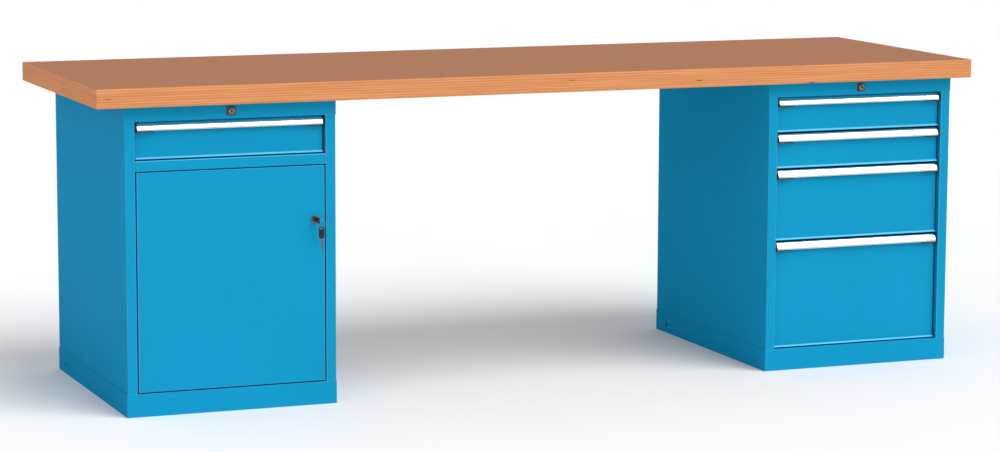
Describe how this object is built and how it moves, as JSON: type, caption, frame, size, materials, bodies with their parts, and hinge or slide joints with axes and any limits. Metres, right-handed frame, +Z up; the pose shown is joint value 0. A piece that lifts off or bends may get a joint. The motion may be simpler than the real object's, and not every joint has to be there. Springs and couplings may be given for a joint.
{
  "type": "workbench with drawers",
  "caption": "Workshop workbench: thick laminated wood top on two steel pedestals, one with a drawer above a lockable cupboard door, the other with a stack of drawers, and knee space between.",
  "frame": {"origin": "on the floor, under the middle of the worktop", "axes": "+X to the user's right along the bench, -Y to the front where the drawers open, +Z up"},
  "size_m": [2.5, 0.8, 0.85],
  "materials": {
    "beech": "oiled multiplex, laminated edge",
    "blue_paint": "light blue powder coat, semi-gloss",
    "grey_paint": "light grey powder coat",
    "zinc_steel": "zinc-plated",
    "lock_steel": "satin",
    "chrome": "polished",
    "aluminium": "satin anodised",
    "black_plastic": "moulded",
    "key_black": "moulded bow, nickel blade"
  },
  "bodies": {
    "frame": {"worktop": "beech", "worktop_screws": "zinc_steel", "door_hinge_bushes": "black_plastic", "left_cabinet_divider": "blue_paint", "left_cabinet_shelf": "blue_paint", "left_shelf_clips": "zinc_steel", "left_cabinet_outer_side": "blue_paint", "left_cabinet_inner_side": "blue_paint", "left_cabinet_back": "blue_paint", "left_cabinet_top": "blue_paint", "left_cabinet_floor": "blue_paint", "left_cabinet_plinth": "blue_paint", "left_fixed_rails": "zinc_steel", "left_lock_housing": "lock_steel", "right_cabinet_outer_side": "blue_paint", "right_cabinet_inner_side": "blue_paint", "right_cabinet_back": "blue_paint", "right_cabinet_top": "blue_paint", "right_cabinet_floor": "blue_paint", "right_cabinet_plinth": "blue_paint", "right_fixed_rails": "zinc_steel", "right_lock_housing": "lock_steel"},
    "left_drawer_lock": {"left_lock_cylinder": "lock_steel"},
    "right_central_lock": {"right_lock_cylinder": "lock_steel", "right_lock_rod": "zinc_steel"},
    "lock_bar": {"right_lock_bar": "zinc_steel"},
    "door": {"door_outer_skin": "blue_paint", "door_inner_skin": "blue_paint", "door_hinge_pins": "zinc_steel", "door_lock_housing": "chrome"},
    "door_lock": {"door_lock_cylinder": "lock_steel", "door_lock_cam": "zinc_steel", "lock_key": "key_black"},
    "key_ring": {"key_ring": "chrome"},
    "spare_key": {"spare_key": "key_black"},
    "left_drawer": {"left_drawer_tub": "grey_paint", "left_drawer_front": "blue_paint", "left_drawer_handle": "aluminium", "left_drawer_end_caps": "black_plastic"},
    "left_drawer_middle": {"left_drawer_middle_rails": "zinc_steel"},
    "right_drawer_1": {"right_drawer_1_tub": "grey_paint", "right_drawer_1_front": "blue_paint", "right_drawer_1_handle": "aluminium", "right_drawer_1_end_caps": "black_plastic"},
    "right_drawer_1_middle": {"right_drawer_1_middle_rails": "zinc_steel"},
    "right_drawer_2": {"right_drawer_2_tub": "grey_paint", "right_drawer_2_front": "blue_paint", "right_drawer_2_handle": "aluminium", "right_drawer_2_end_caps": "black_plastic"},
    "right_drawer_2_middle": {"right_drawer_2_middle_rails": "zinc_steel"},
    "right_drawer_3": {"right_drawer_3_tub": "grey_paint", "right_drawer_3_front": "blue_paint", "right_drawer_3_handle": "aluminium", "right_drawer_3_end_caps": "black_plastic"},
    "right_drawer_3_middle": {"right_drawer_3_middle_rails": "zinc_steel"},
    "right_drawer_4": {"right_drawer_4_tub": "grey_paint", "right_drawer_4_front": "blue_paint", "right_drawer_4_handle": "aluminium", "right_drawer_4_end_caps": "black_plastic"},
    "right_drawer_4_middle": {"right_drawer_4_middle_rails": "zinc_steel"}
  },
  "joints": [
    {"name": "left_drawer_slide", "type": "slide", "parent": "frame", "child": "left_drawer", "axis": [0, -1, 0], "range_m": [0, 0.6]},
    {"name": "left_drawer_middle_slide", "type": "slide", "parent": "frame", "child": "left_drawer_middle", "axis": [0, -1, 0], "range_m": [0, 0.3]},
    {"name": "right_drawer_1_slide", "type": "slide", "parent": "frame", "child": "right_drawer_1", "axis": [0, -1, 0], "range_m": [0, 0.6]},
    {"name": "right_drawer_1_middle_slide", "type": "slide", "parent": "frame", "child": "right_drawer_1_middle", "axis": [0, -1, 0], "range_m": [0, 0.3]},
    {"name": "right_drawer_2_slide", "type": "slide", "parent": "frame", "child": "right_drawer_2", "axis": [0, -1, 0], "range_m": [0, 0.6]},
    {"name": "right_drawer_2_middle_slide", "type": "slide", "parent": "frame", "child": "right_drawer_2_middle", "axis": [0, -1, 0], "range_m": [0, 0.3]},
    {"name": "right_drawer_3_slide", "type": "slide", "parent": "frame", "child": "right_drawer_3", "axis": [0, -1, 0], "range_m": [0, 0.6]},
    {"name": "right_drawer_3_middle_slide", "type": "slide", "parent": "frame", "child": "right_drawer_3_middle", "axis": [0, -1, 0], "range_m": [0, 0.3]},
    {"name": "right_drawer_4_slide", "type": "slide", "parent": "frame", "child": "right_drawer_4", "axis": [0, -1, 0], "range_m": [0, 0.6]},
    {"name": "right_drawer_4_middle_slide", "type": "slide", "parent": "frame", "child": "right_drawer_4_middle", "axis": [0, -1, 0], "range_m": [0, 0.3]},
    {"name": "door_hinge", "type": "hinge", "parent": "frame", "child": "door", "pos_m": [-1.134, -0.357, 0.3465], "axis": [0, 0, -1], "range_deg": [0, 105]},
    {"name": "door_lock_turn", "type": "hinge", "parent": "door", "child": "door_lock", "pos_m": [-0.6635, -0.35, 0.489], "axis": [0, -1, 0], "range_deg": [0, 90]},
    {"name": "key_ring_swing", "type": "hinge", "parent": "door_lock", "child": "key_ring", "pos_m": [-0.6635, -0.3925, 0.489], "axis": [0, 1, 0], "range_deg": [0, 90]},
    {"name": "spare_key_swing", "type": "hinge", "parent": "key_ring", "child": "spare_key", "pos_m": [-0.65642, -0.3925, 0.46844], "axis": [0.7071, 0.7071, 0], "range_deg": [-60, 30]},
    {"name": "left_drawer_lock_turn", "type": "hinge", "parent": "frame", "child": "left_drawer_lock", "pos_m": [-0.888, -0.35, 0.78], "axis": [0, 1, 0], "range_deg": [0, 90]},
    {"name": "right_central_lock_turn", "type": "hinge", "parent": "frame", "child": "right_central_lock", "pos_m": [0.924, -0.35, 0.78], "axis": [0, 1, 0], "range_deg": [0, 90]},
    {"name": "lock_bar_slide", "type": "slide", "parent": "frame", "child": "lock_bar", "axis": [0, 0, -1], "range_m": [0, 0.012]}
  ],
  "couplings": [
    {"joint": "left_drawer_middle_slide", "follows": "left_drawer_slide", "ratio": 0.5},
    {"joint": "right_drawer_1_middle_slide", "follows": "right_drawer_1_slide", "ratio": 0.5},
    {"joint": "right_drawer_2_middle_slide", "follows": "right_drawer_2_slide", "ratio": 0.5},
    {"joint": "right_drawer_3_middle_slide", "follows": "right_drawer_3_slide", "ratio": 0.5},
    {"joint": "right_drawer_4_middle_slide", "follows": "right_drawer_4_slide", "ratio": 0.5},
    {"joint": "key_ring_swing", "follows": "door_lock_turn", "ratio": 1},
    {"joint": "right_central_lock_turn", "follows": "lock_bar_slide", "rad_per_m": 130.9}
  ]
}
